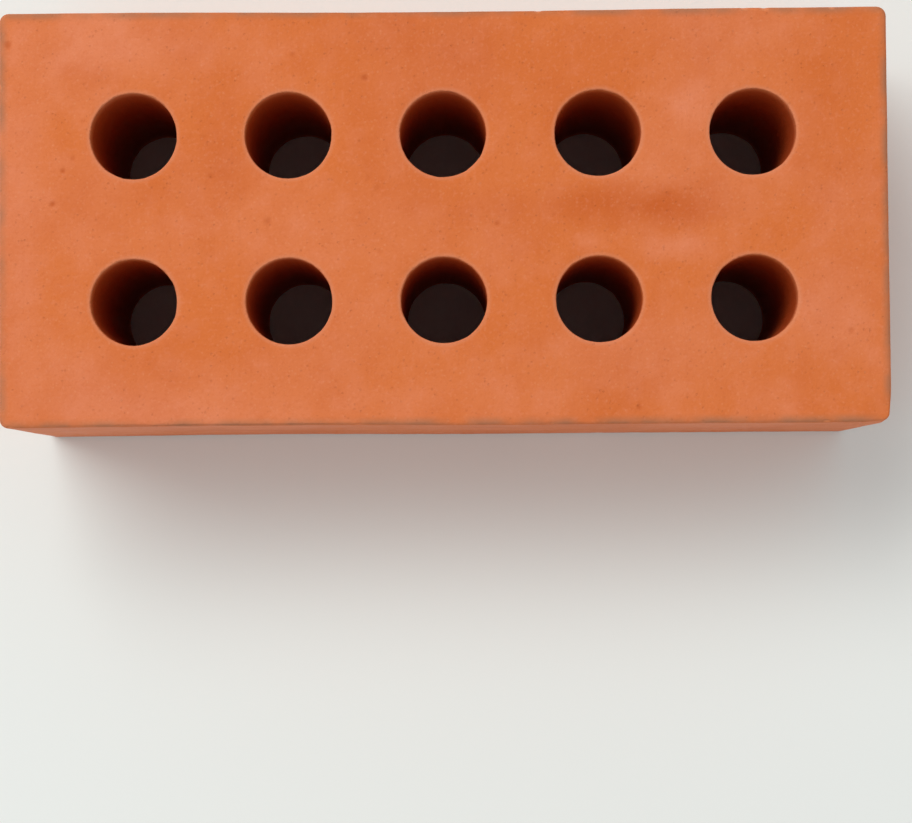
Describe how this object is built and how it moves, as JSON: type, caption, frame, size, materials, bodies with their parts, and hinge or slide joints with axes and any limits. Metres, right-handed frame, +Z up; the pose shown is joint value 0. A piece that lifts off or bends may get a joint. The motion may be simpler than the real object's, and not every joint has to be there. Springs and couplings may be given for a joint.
{
  "type": "perforated clay brick",
  "caption": "Oblong fired clay building brick with rows of round holes through its bed faces, eased edges and flat sides, laid in mortar to build walls.",
  "frame": {"origin": "middle of the lower bed face, on the level that the brick lies on", "axes": "+X along the length, +Y across the width, +Z up along the holes to the upper bed face"},
  "size_m": [0.23, 0.108, 0.075],
  "materials": {
    "fired_clay": "matte"
  },
  "bodies": {
    "root": {"perforated_brick": "fired_clay"}
  },
  "joints": []
}
